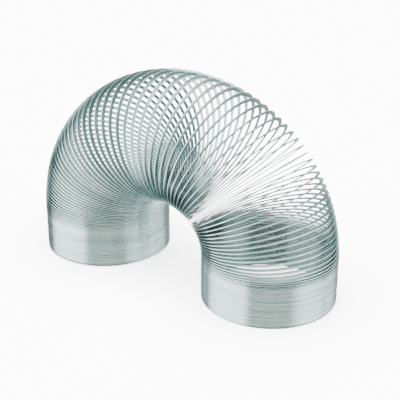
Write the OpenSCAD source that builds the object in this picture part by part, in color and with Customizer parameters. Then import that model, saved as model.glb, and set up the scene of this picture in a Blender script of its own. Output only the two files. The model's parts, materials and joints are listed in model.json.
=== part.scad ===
// Spring coil toy: one long coil of flat steel wire, standing in an arch on its two closed ends.
// The floor is z = 0, the feet stand at -X and +X, and the coil's centre line lies in the plane y = 0.

/* [Coil] */
// Outer diameter of the coil
coil_d = 70; // [50:1:100]
// Width of the flat wire, along the coil's radius
wire_w = 2.4; // [1.6:0.1:3.2]
// Thickness of the flat wire, along the coil's axis
wire_t = 0.54; // [0.4:0.01:0.8]
// Gap between two turns that rest on each other
rest_gap = 0.06; // [0.05:0.01:0.12]

/* [Stance] */
// Closed turns in each foot
foot_turns = 39; // [20:1:50]
// Share by which the pitch along the arch's inner edge grows from the feet to the crown
crown_spread = 0.8; // [0.4:0.05:1.2]
// Length by which the arch's mean radius is larger at the crown and smaller at the feet
crown_bulge = 6.4; // [3:0.1:8]
// Angle by which the shoulder turns sag towards level
shoulder_sag = 6; // [4:0.5:8]
// Angle by which the crown turns twist about the upright
crown_twist = 2; // [0:0.5:3]
// Lopsidedness of the arch, as a length added to its radius
sway = 2; // [0:0.1:2.5]

/* [Hidden] */
// Turns in the arch. The lowest ones lie closed on the feet, and the others move one by one.
arch_turns = 63;
moving_turns = 56;
left_settled = 4;

$fn = 96;

// Wire left off each end of a moving turn, where the next one begins
end_gap = 0.05;
// Wire left off where two arcs meet at a slight angle, and the core inside the wire that joins them
hairline = 0.02;
core_l = 0.4;
core_share = 0.8;
// Part of the foot's lowest turn that lies flat. The rest climbs to the turn above.
flat_angle = 300;
ramp_angle = 360 - flat_angle;

coil_r = coil_d / 2;
wire_r = coil_r - wire_w / 2;
rest_pitch = wire_t + rest_gap;
foot_h = wire_t / 2 + foot_turns * rest_pitch;

// "bend" is the direction in which the coil travels: 0 up, 90 level at the crown and 180 down.
// A turn's plane lags behind it on both shoulders, towards level.
function plane_angle(bend) = bend - shoulder_sag * sin(2 * bend);
function plane_rate(bend) = 1 - 2 * shoulder_sag * PI / 180 * cos(2 * bend);

// Radius of the centre line, and of the inner edge, beyond what mean_r gives them
function centre_swell(bend) = -crown_bulge * cos(2 * bend) + sway * cos(3 * bend);
function inner_swell(bend) = centre_swell(bend) - coil_r * plane_rate(bend);
function inner_pitch(bend) = rest_pitch * (1 + crown_spread * sin(bend));

// The mean radius is the one at which arch_turns turns fill the inner edge
middles = [for (bend = [0.5:179.5]) bend];
function sum_of(list) = list * [for (value = list) 1];
mean_r = (arch_turns * 180 / PI - sum_of([for (bend = middles) inner_swell(bend) / inner_pitch(bend)]))
    / sum_of([for (bend = middles) 1 / inner_pitch(bend)]);
foot_x = mean_r + crown_bulge / 3;

// Turns passed at each degree of bend, as [turns, bend] pairs for lookup()
function turns_per_degree(bend) = (mean_r + inner_swell(bend)) / inner_pitch(bend) * PI / 180;
turns_passed = [for (bend = 0, turns = 0; bend <= 180;
    turns = turns + turns_per_degree(bend + 0.5), bend = bend + 1) [turns, bend]];
function bend_at(turns) = lookup(turns, turns_passed);

// Centre line: the integral of its radius along the direction of travel
function centre_x(bend) = -foot_x + mean_r * (1 - cos(bend))
    - crown_bulge / 2 * (cos(bend) - cos(3 * bend) / 3 - 2 / 3)
    + sway / 8 * (2 * cos(2 * bend) - cos(4 * bend) - 1);
function centre_z(bend) = foot_h + mean_r * sin(bend)
    - crown_bulge / 2 * (sin(bend) + sin(3 * bend) / 3)
    + sway / 8 * (2 * sin(2 * bend) + sin(4 * bend));

// Points [x, z] where the wire crosses the plane y = 0: on the inner edge after whole turns,
// and on the outer edge half a turn later
function crossing(turns) =
    let (bend = bend_at(turns), angle = plane_angle(bend), side = turns == floor(turns) ? 1 : -1)
    [centre_x(bend) + side * wire_r * cos(angle), centre_z(bend) - side * wire_r * sin(angle)];

function turn_name(turn) = str("turn_", turn < 10 ? "0" : "", turn);

// Arc of flat wire about +Z, which leaves trims of start and end millimetres off its whole angle
module wire_arc(r, from, to, start, end) {
    degrees_per_mm = 180 / PI / r;
    first = from + start * degrees_per_mm;
    last = to - end * degrees_per_mm;
    rotate([0, 0, first]) rotate_extrude(angle = last - first)
        translate([r, 0]) square([wire_w, wire_t], center = true);
}

// Core that joins two arcs inside the wire
module core() {
    cube([core_share * wire_w, core_l, core_share * wire_t], center = true);
}

module core_at(point, angle) {
    translate([point[0], 0, point[1]]) rotate([0, angle, 0]) core();
}

// Half a turn, from its inner crossing over the back to the outer one, or back over the front
module half_turn(inner, outer, front, inner_trim) {
    span = outer - inner;
    middle = (inner + outer) / 2;
    translate([middle[0], 0, middle[1]]) rotate([0, atan2(span[1], -span[0]), 0])
        if (front) wire_arc(norm(span) / 2, 180, 360, hairline, inner_trim);
        else wire_arc(norm(span) / 2, 0, 180, inner_trim, hairline);
}

// A whole turn between three crossings, where angle is the plane's angle at the outer one
module whole_turn(start, outer, end, angle, trim) {
    half_turn(start, outer, false, trim);
    core_at(outer, angle);
    half_turn(end, outer, true, trim);
}

// One turn of the arch, counted from 0 at the top of the left foot
module arch_turn(index, trim) {
    whole_turn(crossing(index), crossing(index + 0.5), crossing(index + 1),
        plane_angle(bend_at(index + 0.5)), trim);
}

// The arch turns that lie closed on a foot, joined to each other
module settled_turns(first, last) {
    for (index = [first:last]) arch_turn(index, hairline);
    for (index = [first + 1:last]) core_at(crossing(index), plane_angle(bend_at(index)));
}

// The closed turns of one foot, from the wire's end on the floor up to the first turn of the arch
module foot_coil() {
    ramp_tilt = asin(rest_pitch / wire_r / sin(ramp_angle));
    translate([0, 0, wire_t / 2]) {
        wire_arc(wire_r, 0, flat_angle, 0, hairline);
        rotate([0, 0, flat_angle]) {
            translate([wire_r, 0, 0]) core();
            rotate([ramp_tilt, 0, 0]) wire_arc(wire_r, 0, ramp_angle, hairline, hairline);
        }
        for (turn = [1:foot_turns - 1]) {
            z = turn * rest_pitch;
            whole_turn([wire_r, z], [-wire_r, z + rest_pitch / 2], [wire_r, z + rest_pitch], 0, hairline);
        }
        for (turn = [1:foot_turns]) core_at([wire_r, turn * rest_pitch], 0);
    }
}

module left_stack() {
    color("silver") {
        translate([-foot_x, 0, 0]) foot_coil();
        settled_turns(0, left_settled - 1);
    }
}

module right_stack() {
    color("silver") {
        translate([foot_x, 0, 0]) rotate([0, 0, 180]) foot_coil();
        settled_turns(left_settled + moving_turns, arch_turns - 1);
    }
}

// A moving turn also twists, about the line between its first two crossings
module moving_turn(turn) {
    index = left_settled + turn - 1;
    start = crossing(index);
    inward = start - crossing(index + 0.5);
    twist = -crown_twist * pow(sin(bend_at(index)), 2);
    color("lightsteelblue") translate([start[0], 0, start[1]])
        rotate(a = twist, v = [inward[0], 0, inward[1]])
            translate([-start[0], 0, -start[1]]) arch_turn(index, end_gap);
}

left_stack();
right_stack();
for (turn = [1:moving_turns]) moving_turn(turn);
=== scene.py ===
import json
import math
import random

import bmesh
import bpy
from mathutils import Matrix, Vector
from mathutils.geometry import interpolate_bezier


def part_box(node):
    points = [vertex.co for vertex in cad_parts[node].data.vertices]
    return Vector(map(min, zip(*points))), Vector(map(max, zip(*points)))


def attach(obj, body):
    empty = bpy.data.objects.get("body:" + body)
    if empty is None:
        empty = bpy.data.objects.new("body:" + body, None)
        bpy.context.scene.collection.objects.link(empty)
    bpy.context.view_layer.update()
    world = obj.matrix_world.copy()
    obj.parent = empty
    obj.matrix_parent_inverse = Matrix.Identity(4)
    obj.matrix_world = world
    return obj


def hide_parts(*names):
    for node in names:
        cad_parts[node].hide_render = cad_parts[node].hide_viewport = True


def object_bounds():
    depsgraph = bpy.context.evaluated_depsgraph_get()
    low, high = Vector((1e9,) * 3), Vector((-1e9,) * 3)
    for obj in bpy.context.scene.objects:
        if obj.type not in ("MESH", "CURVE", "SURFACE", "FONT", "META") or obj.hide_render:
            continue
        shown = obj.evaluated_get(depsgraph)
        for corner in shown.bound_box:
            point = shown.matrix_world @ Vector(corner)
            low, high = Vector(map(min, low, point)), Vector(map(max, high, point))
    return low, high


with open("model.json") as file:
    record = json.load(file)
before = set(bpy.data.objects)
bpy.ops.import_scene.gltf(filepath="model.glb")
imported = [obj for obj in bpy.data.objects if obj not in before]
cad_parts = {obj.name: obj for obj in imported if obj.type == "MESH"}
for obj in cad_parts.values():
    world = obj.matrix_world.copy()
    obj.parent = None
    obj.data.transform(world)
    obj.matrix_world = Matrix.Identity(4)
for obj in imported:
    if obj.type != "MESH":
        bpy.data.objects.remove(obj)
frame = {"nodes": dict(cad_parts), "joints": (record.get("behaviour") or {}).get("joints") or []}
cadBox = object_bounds()
print("frame loaded:", len(frame["nodes"]), "CAD nodes")


# Camera, looking down at the arch from the side of the right foot
cameraView = {
    "target": (0.0106, 0.0, 0.0416),
    "azimuth": 36.5,
    "elevation": 23.8,
    "distance": 0.5,
    "lens": 85.5,
    "nearest": 0.01,
}


def makeCamera(view):
    turn, lift = math.radians(view["azimuth"]), math.radians(view["elevation"])
    level = math.cos(lift)
    back = Vector((math.sin(turn) * level, -math.cos(turn) * level, math.sin(lift)))
    cameraData = bpy.data.cameras.new("viewCamera")
    cameraData.lens = view["lens"]
    cameraData.clip_start = view["nearest"]
    camera = bpy.data.objects.new("viewCamera", cameraData)
    camera.location = Vector(view["target"]) + back * view["distance"]
    camera.rotation_euler = back.to_track_quat("Z", "Y").to_euler()
    bpy.context.scene.collection.objects.link(camera)
    bpy.context.scene.camera = camera


makeCamera(cameraView)
print("camera placed")


# Shader maths as expressions: a socket that can be added, subtracted and multiplied
class Shade:
    def __init__(self, tree, socket):
        self.tree, self.socket = tree, socket

    def node(self, kind, settings=None, inputs=None, output=0):
        made = self.tree.nodes.new(kind)
        for name, value in (settings or {}).items():
            setattr(made, name, value)
        for name, value in (inputs or {}).items():
            if isinstance(value, Shade):
                self.tree.links.new(value.socket, made.inputs[name])
            else:
                made.inputs[name].default_value = value
        return Shade(self.tree, made.outputs[output])

    def math(self, operation, *values):
        return self.node("ShaderNodeMath", {"operation": operation}, dict(enumerate(values)))

    def __add__(self, other): return self.math("ADD", self, other)
    def __radd__(self, other): return self.math("ADD", other, self)
    def __sub__(self, other): return self.math("SUBTRACT", self, other)
    def __rsub__(self, other): return self.math("SUBTRACT", other, self)
    def __mul__(self, other): return self.math("MULTIPLY", self, other)
    def __rmul__(self, other): return self.math("MULTIPLY", other, self)

    def mix(self, first, second):  # first where self is 0, second where it is 1
        return self.node("ShaderNodeMix", {"data_type": "RGBA"}, {0: self, 6: first, 7: second}, 2)

    def clamped(self, low, high):
        return self.node("ShaderNodeMapRange", {}, {0: self, 1: low, 2: high, 3: 0.0, 4: 1.0})


# Bright drawn steel with a cool tint. Marks are given as how many there are to a metre along the wire
# and across it, and their detail.
steelFinish = {
    "bright": (0.56, 0.66, 0.65, 1.0),
    "tinted": (0.27, 0.41, 0.41, 1.0),
    "inside": (0.10, 0.155, 0.155, 1.0),  # painted shade: the edge that faces into the coil is darkened to stand in for the shade inside the coil
    "insideFrom": -0.0010,  # measured outwards from the middle of the wire's width
    "insideFade": 0.0001,
    "drawingMarks": (220.0, 9000.0, 3.0),
    "handlingMarks": (150.0, 900.0, 3.0),
    "temperMarks": (9.0, 60.0, 2.0),
    "temperShare": 0.75,  # of the stain, and handling marks make the rest
    "stainStart": 0.42,
    "stainFull": 0.66,
    "roughness": 0.15,
    "roughnessSpread": 0.12,
    "bumpStrength": 0.5,
    "bumpHeight": 0.00001,
}


def makeSteel(finish):
    material = bpy.data.materials.new("drawnSpringSteel")
    material.use_nodes = True
    tree = material.node_tree
    shader = tree.nodes["Principled BSDF"]
    shader.inputs["Metallic"].default_value = 1.0
    start = Shade(tree, None)
    place = start.node("ShaderNodeAttribute", {"attribute_name": "wirePlace"}, output=1)

    def marks(along, across, detail):  # noise in the wire's own directions
        placed = start.node("ShaderNodeMapping", {}, {"Vector": place, "Scale": (along, across, 1.0)})
        return start.node("ShaderNodeTexNoise", {}, {"Vector": placed, "Scale": 1.0, "Detail": detail})

    drawing = marks(*finish["drawingMarks"])
    handling = marks(*finish["handlingMarks"])
    temper = marks(*finish["temperMarks"])
    stain = temper * finish["temperShare"] + handling * (1 - finish["temperShare"])
    stain = stain.clamped(finish["stainStart"], finish["stainFull"])
    outward = start.node("ShaderNodeSeparateXYZ", {}, {0: place}, "Y")
    # painted shade on the wire's inner edge, where the inside of the coil lies in shade
    inside = outward.clamped(finish["insideFrom"] + finish["insideFade"],
                             finish["insideFrom"] - finish["insideFade"])
    colour = inside.mix(stain.mix(finish["bright"], finish["tinted"]), finish["inside"])
    unevenness = drawing * 0.5 + handling * 0.5 - 0.5
    rough = finish["roughness"] + unevenness * finish["roughnessSpread"]
    bump = start.node("ShaderNodeBump", {}, {
        "Strength": finish["bumpStrength"], "Distance": finish["bumpHeight"], "Height": drawing})
    for name, value in (("Base Color", colour), ("Roughness", rough), ("Normal", bump)):
        tree.links.new(value.socket, shader.inputs[name])
    return material


steel = makeSteel(steelFinish)
print("steel made")


# Flat wire, in metres and degrees
wire = {
    "width": 0.0024,
    "thickness": 0.00054,
    "edgeRadius": 0.00022,
    "edgeSegments": 3,
    "halfTurnSteps": 48,
    "crownTwist": 2.0,  # of the turns at the top of the arch, about the upright
    "mergeDistance": 0.000001,
}

# Closed turns of a foot, which never lie exactly on each other
foot = {
    "turns": 39,
    "pitch": 0.0006,
    "flatAngle": 300.0,  # of the lowest turn, before it climbs onto itself
    "eased": 6,  # closed turns at the top that already begin to tilt
    "settledLeft": 4,  # turns of the arch that lie on the foot
    "settledRight": 3,
    "slip": 0.00013,  # how far a turn lies out of line
    "gapSpread": 0.00002,  # how far it lies above or below its place
    "slipMemory": 0.35,  # share of a turn's slip that the next one keeps
    "slipStep": 0.9,
    "seed": 7,
}

up = Vector((0, 0, 1))
tilts = sorted(frame["joints"], key=lambda joint: (joint["child"] == "right_stack", joint["child"]))
turnNames = [joint["child"] for joint in tilts[:-1]]
innerPoints = [Vector(joint["pos_m"]) for joint in tilts]
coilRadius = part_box("left_stack")[1][1]
wireRadius = coilRadius - wire["width"] / 2
footHeight = wire["thickness"] / 2 + foot["turns"] * foot["pitch"]
footX = (cadBox[1][0] - cadBox[0][0]) / 2 - coilRadius
middleReach = 0.0003  # how far from the middle plane a vertex still counts as lying on it


def outerPoint(name, inner):  # where a turn crosses the middle plane on the arch's outer side
    near = [v.co for v in frame["nodes"][name].data.vertices
            if abs(v.co.y) < middleReach and (v.co - inner).length > coilRadius]
    middle = sum(near, Vector()) / len(near)
    return Vector((middle.x, 0, middle.z))


def planeAngle(inner, outer):
    span = outer - inner
    return math.atan2(span.z, -span.x)


def axisOf(angle):
    return Vector((math.sin(angle), 0, math.cos(angle)))


def settle(first, firstStep, last, lastStep, count):  # points on a smooth curve from first to last
    reach = count / 3
    return interpolate_bezier(first, first + firstStep * reach, last - lastStep * reach, last,
                              count + 1)


outerPoints = [outerPoint(name, inner) for name, inner in zip(turnNames, innerPoints)]


# Crossings from the closed turns up to the first open one, on the inner and the outer side
def settled(side, count):
    low = footHeight - foot["eased"] * foot["pitch"]
    step = up * foot["pitch"]
    inners, outers = (row if side < 0 else row[::-1] for row in (innerPoints, outerPoints))
    first = Vector((side * (footX - wireRadius), 0, low))
    firstOuter = Vector((side * (footX + wireRadius), 0, low + foot["pitch"] / 2))
    count += foot["eased"]
    return (settle(first, step, inners[0], inners[1] - inners[0], count),
            settle(firstOuter, step, outers[0], outers[1] - outers[0], count)[:-1])


def profile(bm, point, angle):  # outline of the flat wire where it crosses the middle plane
    across = Vector((math.cos(angle), 0, -math.sin(angle))) * wire["width"] / 2
    through = axisOf(angle) * wire["thickness"] / 2
    corners = [bm.verts.new(point + a * across + b * through)
               for a, b in ((-1, -1), (1, -1), (1, 1), (-1, 1))]
    bm.faces.new(corners)
    bmesh.ops.bevel(bm, geom=corners, offset=wire["edgeRadius"], affect="VERTICES",
                    segments=wire["edgeSegments"], profile=0.5, material=-1)
    bmesh.ops.delete(bm, geom=bm.faces[:], context="FACES_ONLY")
    place = bm.verts.layers.float_vector.new("wirePlace")
    for v in bm.verts:
        v[place].y = (v.co - point).dot(across.normalized() + through.normalized())
    return bm.edges[:]


def spin(bm, edges, centre, axis, angle, steps, rise=0.0):
    made = bmesh.ops.spin(bm, geom=edges, cent=centre, axis=axis, dvec=axis * rise / steps,
                          angle=angle, steps=steps)
    return [part for part in made["geom_last"] if isinstance(part, bmesh.types.BMEdge)]


def halfTurns(bm, edges, points, angles, angle):  # from one crossing to the next, on half rings
    for first, second, nextAngle in zip(points, points[1:], angles):
        verts = list({v for edge in edges for v in edge.verts})
        bmesh.ops.rotate(bm, verts=verts, cent=first, matrix=Matrix.Rotation(nextAngle - angle, 3, "Y"))
        angle = nextAngle
        edges = spin(bm, edges, (first + second) / 2, axisOf(angle), math.pi, wire["halfTurnSteps"])
    return edges


# Crossings in their order along the wire, and the plane's angle for each half turn between them
def chain(inners, outers):
    points = [inners[0]]
    for outer, inner in zip(outers, inners[1:]):
        points += [outer, inner]
    angles = [planeAngle(a, b) if i % 2 == 0 else planeAngle(b, a)
              for i, (a, b) in enumerate(zip(points, points[1:]))]
    return points, angles


def finishPiece(name, bm, body):
    bmesh.ops.remove_doubles(bm, verts=bm.verts[:], dist=wire["mergeDistance"])
    bmesh.ops.holes_fill(bm, edges=bm.edges[:], sides=0)
    bmesh.ops.recalc_face_normals(bm, faces=bm.faces[:])
    for face in bm.faces:
        face.smooth = len(face.verts) == 4
    for edge in bm.edges:  # the wire's cut ends stay sharp
        edge.smooth = all(face.smooth for face in edge.link_faces)
    mesh = bpy.data.meshes.new(name)
    bm.to_mesh(mesh)
    bm.free()
    mesh.materials.append(steel)
    piece = bpy.data.objects.new(name, mesh)
    bpy.context.scene.collection.objects.link(piece)
    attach(piece, body)
    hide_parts(body)
    return piece


turnLength = 2 * math.pi * wireRadius
stepLength = turnLength / 2 / wire["halfTurnSteps"]


def makeTurn(name, number, inner, outer, nextInner):
    points, angles = chain([inner, nextInner], [outer])
    bm = bmesh.new()
    edges = profile(bm, inner, angles[0])
    ringSize = len(bm.verts)
    halfTurns(bm, edges, points, angles, angles[0])
    twist = -math.radians(wire["crownTwist"]) * math.sin(angles[0]) ** 2
    bmesh.ops.rotate(bm, verts=bm.verts[:], cent=inner, matrix=Matrix.Rotation(twist, 3, inner - outer))
    place = bm.verts.layers.float_vector["wirePlace"]
    bm.verts.index_update()
    for v in bm.verts:
        v[place].x = number * turnLength + v.index // ringSize * stepLength
    finishPiece(name + "_wire", bm, name)


for number, name in enumerate(turnNames):
    makeTurn(name, number, innerPoints[number], outerPoints[number], innerPoints[number + 1])
print("open turns made:", len(turnNames))


def wander(count, reach, rng):  # a slow random walk that stays within reach
    values, value = [], 0.0
    for _ in range(count):
        step = rng.uniform(-foot["slipStep"], foot["slipStep"])
        value = max(-1.0, min(1.0, value * foot["slipMemory"] + step))
        values.append(value * reach)
    return values


# A short stretch of wire as a mesh, which starts at the left foot's first crossing
def wireMesh(build):
    bm = bmesh.new()
    edges = profile(bm, Vector((wireRadius - footX, 0, 0)), 0.0)
    build(bm, edges)
    mesh = bpy.data.meshes.new("wirePart")
    bm.to_mesh(mesh)
    bm.free()
    return mesh


# Both feet are made at the left, and the right one is turned round at the end
def makeFoot(name, inners, outers, turned):
    rng = random.Random(foot["seed"] + turned)
    steps = 2 * wire["halfTurnSteps"]
    centre = Vector((-footX, 0, 0))
    flat = math.radians(foot["flatAngle"])
    flatSteps = round(steps * foot["flatAngle"] / 360)
    lift = Matrix.Translation(up * foot["pitch"])
    if turned:
        inners, outers = ([Vector((-p.x, 0, p.z)) for p in row] for row in (inners, outers))

    def lowest(bm, edges):
        edges = spin(bm, edges, centre, up, flat, flatSteps)
        spin(bm, edges, centre, up, 2 * math.pi - flat, steps - flatSteps, foot["pitch"])

    def closed(bm, edges):
        spin(bm, edges, centre, up, 2 * math.pi, steps, foot["pitch"])

    def easing(bm, edges):
        points, angles = chain(inners, outers)
        bmesh.ops.translate(bm, verts=bm.verts[:], vec=up * inners[0].z)
        halfTurns(bm, edges, points, angles, 0.0)

    bm = bmesh.new()
    parts = wireMesh(lowest), wireMesh(closed), wireMesh(easing)
    parts[0].transform(Matrix.Translation(up * wire["thickness"] / 2))
    parts[1].transform(Matrix.Translation(up * wire["thickness"] / 2) @ lift)
    bm.from_mesh(parts[0])
    ringSize = len(bm.verts) // (steps + 1)
    closedTurns = foot["turns"] - foot["eased"]
    for _ in range(closedTurns - 1):
        bm.from_mesh(parts[1])
        parts[1].transform(lift)

    slips = [wander(closedTurns + 1, reach, rng)
             for reach in (foot["slip"], foot["slip"], foot["gapSpread"])]
    for values in slips:  # the first and the last closed turn keep their place
        values[:2] = values[-2:] = 0.0, 0.0
    place = bm.verts.layers.float_vector["wirePlace"]
    bm.verts.index_update()
    for v in bm.verts:
        turn, ring = divmod(v.index // ringSize, steps + 1)
        part = ring / steps
        v.co += Vector([values[turn] * (1 - part) + values[turn + 1] * part for values in slips])
        v[place].x = (turn + part) * turnLength
    bm.from_mesh(parts[2])
    bm.verts.ensure_lookup_table()
    start = closedTurns * (steps + 1) * ringSize
    for v in bm.verts[start:]:
        v[place].x = closedTurns * turnLength + (v.index - start) // ringSize * stepLength
    wireEnd = (closedTurns + len(outers)) * turnLength
    for v in bm.verts:  # the whole wire is numbered from the first open turn
        if turned:
            v[place].x = len(turnNames) * turnLength + wireEnd - v[place].x
        else:
            v[place].x = v[place].x - wireEnd
    if turned:
        bmesh.ops.rotate(bm, verts=bm.verts[:], cent=(0, 0, 0), matrix=Matrix.Rotation(math.pi, 3, "Z"))
    finishPiece(name + "_wire", bm, name)
    for part in parts:
        bpy.data.meshes.remove(part)


makeFoot("left_stack", *settled(-1, foot["settledLeft"]), 0)
makeFoot("right_stack", *settled(1, foot["settledRight"]), 1)
print("feet made")


# Pale floor and a soft studio all round, which the bright wire mirrors
studio = {
    "floorColour": (0.9, 0.9, 0.9, 1.0),
    "floorRoughness": 0.9,
    "floorGlow": 10.0,
    "shadowReach": 0.05,
    "shadowSamples": 12,
    "floorSize": 6.0,
    "skyColour": (11.0, 11.0, 11.0, 1.0),  # behind the toy
    "roomColour": (0.05, 0.085, 0.09, 1.0),  # between the panels
    "edgeSoftness": 12.0,
    # Compass angle, lift, half width and half height in degrees, and colour. A later panel hangs
    # in front of the earlier ones.
    "panels": {
        "table": (0.0, -50.0, 200.0, 50.0, (0.60, 0.70, 0.68, 1.0)),
        "front": (-48.0, -12.0, 38.0, 30.0, (2.2, 2.25, 2.05, 1.0)),
        "left": (-130.0, 5.0, 37.0, 55.0, (5.5, 5.7, 5.7, 1.0)),
        "rightLow": (30.0, -30.0, 43.0, 28.0, (4.4, 4.6, 4.5, 1.0)),
        "rightHigh": (12.0, 20.0, 22.0, 35.0, (3.8, 4.0, 4.0, 1.0)),
        "rightBack": (72.0, 26.0, 34.0, 24.0, (0.32, 0.42, 0.43, 1.0)),
        "rightBackHigh": (96.0, 44.0, 28.0, 14.0, (1.5, 1.7, 1.7, 1.0)),
        "back": (128.0, -5.0, 24.0, 22.0, (0.9, 1.05, 1.0, 1.0)),
        "backHigh": (128.0, 29.0, 24.0, 12.0, (3.0, 3.3, 3.2, 1.0)),
        "top": (0.0, 95.0, 200.0, 28.0, (7.0, 7.2, 7.2, 1.0)),
    },
}


def makeStudio(plan):
    bm = bmesh.new()
    bmesh.ops.create_grid(bm, x_segments=1, y_segments=1, size=plan["floorSize"] / 2)
    mesh = bpy.data.meshes.new("floor")
    bm.to_mesh(mesh)
    bm.free()
    material = bpy.data.materials.new("paleFloor")
    material.use_nodes = True
    pale = material.node_tree.nodes["Principled BSDF"]
    for name, value in (("Base Color", plan["floorColour"]), ("Roughness", plan["floorRoughness"]),
                        ("Specular IOR Level", 0.0), ("Emission Strength", plan["floorGlow"])):
        pale.inputs[name].default_value = value
    start = Shade(material.node_tree, None)
    # painted shadow: the floor's glow is dimmed by ambient occlusion near the coil, standing in for its
    # shadow on the floor
    paintedFloorShadow = start.node("ShaderNodeAmbientOcclusion", {"samples": plan["shadowSamples"]},
                          {"Distance": plan["shadowReach"]})
    material.node_tree.links.new(paintedFloorShadow.socket, pale.inputs["Emission Color"])
    mesh.materials.append(material)
    floor = bpy.data.objects.new("floor", mesh)
    floor.visible_glossy = False  # the steel mirrors the table panel instead
    floor.visible_diffuse = False
    bpy.context.scene.collection.objects.link(floor)

    world = bpy.data.worlds.new("studio")
    bpy.context.scene.world = world
    world.use_nodes = True
    tree = world.node_tree
    start = Shade(tree, None)
    direction = start.node("ShaderNodeTexCoord", output="Generated")
    x, y, z = (start.node("ShaderNodeSeparateXYZ", {}, {0: direction}, axis) for axis in "XYZ")
    compass = start.math("ARCTAN2", y, x) * math.degrees(1)
    lift = start.math("ARCSINE", z) * math.degrees(1)
    soft = plan["edgeSoftness"] / 2
    room = plan["roomColour"]
    for compassAngle, liftAngle, halfWidth, halfHeight, colour in plan["panels"].values():
        aside = start.math("ABSOLUTE", start.math("WRAP", compass - compassAngle, 180.0, -180.0))
        above = start.math("ABSOLUTE", lift - liftAngle)
        besides = aside.clamped(halfWidth + soft, halfWidth - soft)
        mask = besides * above.clamped(halfHeight + soft, halfHeight - soft)
        room = mask.mix(room, colour)
    seen = start.node("ShaderNodeLightPath")
    colour = seen.mix(room, plan["skyColour"])
    tree.links.new(colour.socket, tree.nodes["Background"].inputs["Color"])


makeStudio(studio)
print("studio made")
